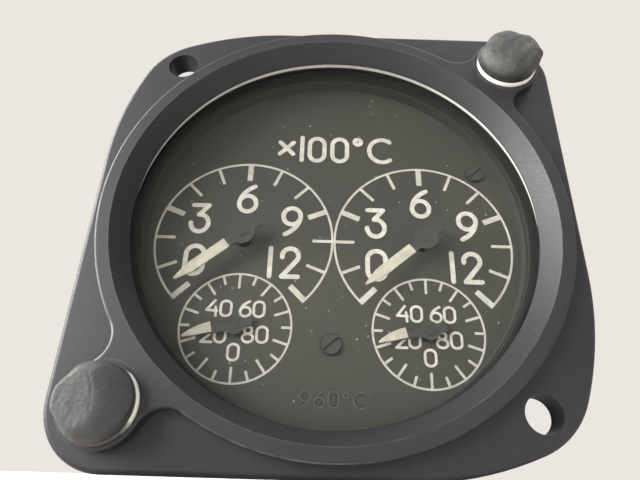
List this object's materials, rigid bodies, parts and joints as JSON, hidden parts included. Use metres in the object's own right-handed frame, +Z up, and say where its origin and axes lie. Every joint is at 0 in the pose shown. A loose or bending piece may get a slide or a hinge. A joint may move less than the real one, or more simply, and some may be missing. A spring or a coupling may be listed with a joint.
{
  "type": "aircraft temperature gauge",
  "caption": "Panel-mounted twin temperature indicator: coarse and fine pointers on a round dial in a square flange, lamp caps at opposite corners, round case with a rear connector.",
  "frame": {"origin": "centre of the two mounting holes at the rear face of the flange, on the case axis", "axes": "+Y from the dial to the rear connector, +Z up, +X to the right of a person who reads the dial"},
  "size_m": [0.085, 0.1458, 0.085],
  "materials": {
    "casting": "satin dark grey paint",
    "case_paint": "satin near-black paint",
    "bright_metal": "bare, turned",
    "window_glass": "polished",
    "seal": "matte",
    "inner_black": "matte black",
    "dial_paint": "matte olive black",
    "mark_paint": "matte cream white",
    "pointer_paint": "matte cream",
    "dark_steel": "blackened",
    "steel": "ground",
    "brass_parts": "machined",
    "plate_alloy": "machined",
    "board": "laminate",
    "can_metal": "drawn",
    "core_iron": "varnished",
    "insulator": "moulded",
    "contact": "silvered",
    "lamp_glass": "clear",
    "cap_paint": "worn, rough",
    "bush_metal": "nickelled"
  },
  "bodies": {
    "instrument": {"bezel_flange": "casting", "board_capacitors": "can_metal", "board_pillars": "plate_alloy", "board_spacers": "plate_alloy", "board_transistors": "can_metal", "case_screws": "dark_steel", "case_tube": "case_paint", "connector_insert": "insulator", "connector_pins": "contact", "connector_screws": "steel", "connector_shell": "plate_alloy", "control_board": "board", "cover_gasket": "seal", "cover_glass": "window_glass", "cover_screws": "dark_steel", "dial_plate": "dial_paint", "dial_posts": "plate_alloy", "dial_scales": "mark_paint", "dial_screws": "dark_steel", "dial_spacer": "inner_black", "front_bushes": "brass_parts", "front_plate": "plate_alloy", "glass_gasket": "seal", "glass_ring": "bright_metal", "lamp_contacts": "contact", "left_feedback_pot": "insulator", "left_servo_motor": "can_metal", "lock_ring": "plate_alloy", "lower_lamp": "lamp_glass", "lower_lamp_bush": "bush_metal", "lower_lamp_cap": "cap_paint", "plate_pillars": "plate_alloy", "rear_bushes": "brass_parts", "rear_cover": "case_paint", "rear_plate": "plate_alloy", "right_feedback_pot": "insulator", "right_servo_motor": "can_metal", "supply_board": "board", "supply_transformer": "core_iron", "upper_lamp": "lamp_glass", "upper_lamp_bush": "bush_metal", "upper_lamp_cap": "cap_paint"},
    "left_coarse": {"left_coarse_arbor": "steel", "left_coarse_wheel": "brass_parts", "left_coarse_pointer": "pointer_paint"},
    "left_middle": {"left_middle_arbor": "steel", "left_middle_wheel": "brass_parts"},
    "left_fine": {"left_fine_arbor": "steel", "left_fine_pointer": "pointer_paint"},
    "right_coarse": {"right_coarse_arbor": "steel", "right_coarse_wheel": "brass_parts", "right_coarse_pointer": "pointer_paint"},
    "right_middle": {"right_middle_arbor": "steel", "right_middle_wheel": "brass_parts"},
    "right_fine": {"right_fine_arbor": "steel", "right_fine_pointer": "pointer_paint"}
  },
  "joints": [
    {"name": "left_coarse_turn", "type": "hinge", "parent": "instrument", "child": "left_coarse", "pos_m": [-0.01685, 0, -0.0017], "axis": [0, 1, 0], "range_deg": [-4.72, 265.27]},
    {"name": "left_middle_turn", "type": "hinge", "parent": "instrument", "child": "left_middle", "pos_m": [-0.01146, 0, -0.01013], "axis": [0, 1, 0], "range_deg": [-1061.2, 19]},
    {"name": "left_fine_turn", "type": "hinge", "parent": "instrument", "child": "left_fine", "pos_m": [-0.01685, 0, -0.01855], "axis": [0, 1, 0], "range_deg": [-75.7, 4244.5]},
    {"name": "right_coarse_turn", "type": "hinge", "parent": "instrument", "child": "right_coarse", "pos_m": [0.01685, 0, -0.0017], "axis": [0, 1, 0], "range_deg": [-4.72, 265.27]},
    {"name": "right_middle_turn", "type": "hinge", "parent": "instrument", "child": "right_middle", "pos_m": [0.01146, 0, -0.01013], "axis": [0, 1, 0], "range_deg": [-1061.2, 19]},
    {"name": "right_fine_turn", "type": "hinge", "parent": "instrument", "child": "right_fine", "pos_m": [0.01685, 0, -0.01855], "axis": [0, 1, 0], "range_deg": [-75.7, 4244.5]}
  ],
  "couplings": [
    {"joint": "left_middle_turn", "follows": "left_coarse_turn", "ratio": -4},
    {"joint": "left_fine_turn", "follows": "left_coarse_turn", "ratio": 16},
    {"joint": "right_middle_turn", "follows": "right_coarse_turn", "ratio": -4},
    {"joint": "right_fine_turn", "follows": "right_coarse_turn", "ratio": 16}
  ]
}
